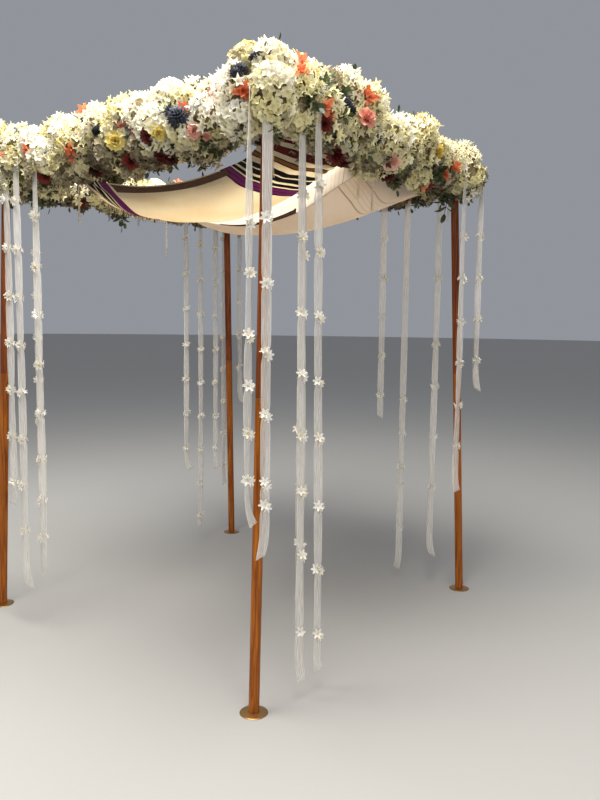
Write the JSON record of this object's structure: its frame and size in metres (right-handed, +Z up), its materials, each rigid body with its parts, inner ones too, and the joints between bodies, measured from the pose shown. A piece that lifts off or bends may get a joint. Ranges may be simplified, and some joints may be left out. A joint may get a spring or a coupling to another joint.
{
  "type": "wedding canopy",
  "caption": "Free-standing wedding canopy: wooden poles on brass plates, a flower-wrapped square top, two shawls as the roof and long hanging ribbons with small star flowers.",
  "frame": {"origin": "on the floor, at the centre of the square of the four poles", "axes": "+Z up; -X towards the side where the striped shawl hangs, +X towards the side of the plain shawl; -Y towards the side between the front and right poles"},
  "size_m": [2.1818, 2.1818, 2.6531],
  "materials": {
    "plate_brass": "brushed, slightly dull brass",
    "pole_wood": "satin varnished light reddish hardwood",
    "pole_wood_dark": "satin varnished red-brown hardwood",
    "rail_wood": "plain planed batten",
    "flowers": "petals and leaves, mostly cream, with coral, burgundy, blue and green",
    "shawl_wool_striped": "thin cream wool weave with dark, purple and maroon stripes at both ends",
    "shawl_wool_plain": "thin cream wool weave with faint grey stripes at both ends",
    "band_cloth": "dark brown woven band",
    "organza": "sheer white organza ribbon with small white star flowers"
  },
  "bodies": {
    "root": {"base_plate_front": "plate_brass", "pole_lower_front": "pole_wood", "pole_upper_front": "pole_wood_dark", "base_plate_right": "plate_brass", "pole_lower_right": "pole_wood", "pole_upper_right": "pole_wood_dark", "base_plate_back": "plate_brass", "pole_lower_back": "pole_wood", "pole_upper_back": "pole_wood_dark", "base_plate_left": "plate_brass", "pole_lower_left": "pole_wood", "pole_upper_left": "pole_wood_dark", "rail_front_right": "rail_wood", "rail_back_right": "rail_wood", "rail_back_left": "rail_wood", "rail_front_left": "rail_wood", "garland_front_right": "flowers", "garland_back_right": "flowers", "garland_back_left": "flowers", "garland_front_left": "flowers", "shawl_striped": "shawl_wool_striped", "shawl_plain": "shawl_wool_plain", "neckband_striped": "band_cloth", "neckband_plain": "band_cloth", "ribbon_front_1": "organza", "ribbon_front_2": "organza", "ribbon_front_3": "organza", "ribbon_front_4": "organza", "ribbon_front_5": "organza", "ribbon_right_1": "organza", "ribbon_right_2": "organza", "ribbon_right_3": "organza", "ribbon_right_4": "organza", "ribbon_right_5": "organza", "ribbon_back_1": "organza", "ribbon_back_2": "organza", "ribbon_back_3": "organza", "ribbon_back_4": "organza", "ribbon_back_5": "organza", "ribbon_left_1": "organza", "ribbon_left_2": "organza", "ribbon_left_3": "organza", "ribbon_left_4": "organza", "ribbon_left_5": "organza"}
  },
  "joints": []
}
